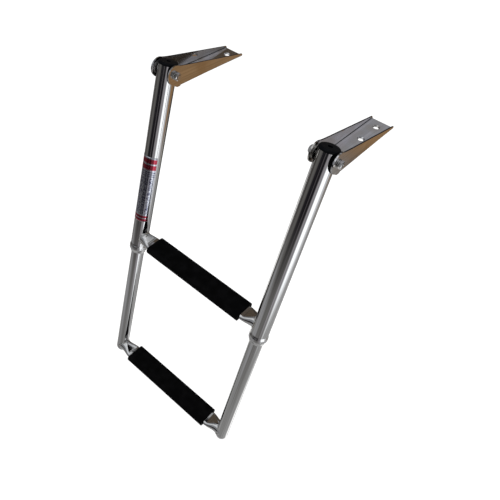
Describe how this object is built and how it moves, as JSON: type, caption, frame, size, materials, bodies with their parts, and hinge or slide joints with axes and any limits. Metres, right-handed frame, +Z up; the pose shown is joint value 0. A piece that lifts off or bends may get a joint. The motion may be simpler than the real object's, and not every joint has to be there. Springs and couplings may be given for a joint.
{
  "type": "boat boarding ladder",
  "caption": "Telescoping stainless boat boarding ladder with channel brackets, rubber-sleeved flat steps and a swing-up pivot.",
  "frame": {"origin": "on the deck's top plane, midway between the two brackets, straight below the pivot bolts' axis", "axes": "+Z up, away from the deck; +Y inboard, along the brackets; +X to starboard, along the pivot axis and the steps"},
  "size_m": [0.3252, 0.3102, 0.575],
  "materials": {
    "polished_stainless": "mirror-polished stainless steel",
    "bolt_stainless": "plain stainless fasteners",
    "black_nylon": "moulded black nylon",
    "black_plastic": "moulded black plastic, satin",
    "black_rubber": "matte black rubber with a fine pebbled grain"
  },
  "bodies": {
    "brackets": {"bracket_left": "polished_stainless", "bracket_right": "polished_stainless", "head_washer_left": "bolt_stainless", "head_washer_right": "bolt_stainless", "nut_washer_left": "bolt_stainless", "nut_washer_right": "bolt_stainless", "pivot_bolt_left": "bolt_stainless", "pivot_bolt_right": "bolt_stainless", "pivot_nut_left": "bolt_stainless", "pivot_nut_right": "bolt_stainless", "spacer_left_port": "bolt_stainless", "spacer_left_starboard": "black_nylon", "spacer_right_port": "bolt_stainless", "spacer_right_starboard": "black_nylon"},
    "upper_section": {"collar_left": "polished_stainless", "collar_right": "polished_stainless", "slide_bush_left": "black_nylon", "slide_bush_right": "black_nylon", "tube_cap_left": "black_plastic", "tube_cap_right": "black_plastic", "upper_step": "polished_stainless", "upper_tread": "black_rubber", "upper_tube_left": "polished_stainless", "upper_tube_right": "polished_stainless"},
    "lower_section": {"guide_ring_left": "black_nylon", "guide_ring_right": "black_nylon", "lower_step": "polished_stainless", "lower_tread": "black_rubber", "lower_tube_left": "polished_stainless", "lower_tube_right": "polished_stainless"}
  },
  "joints": [
    {"name": "ladder_swing", "type": "hinge", "parent": "brackets", "child": "upper_section", "pos_m": [0, 0, 0.0168], "axis": [-1, 0, 0], "range_deg": [0, 254]},
    {"name": "lower_slide", "type": "slide", "parent": "upper_section", "child": "lower_section", "axis": [0, 0.2588, 0.9659], "range_m": [0, 0.226]}
  ]
}
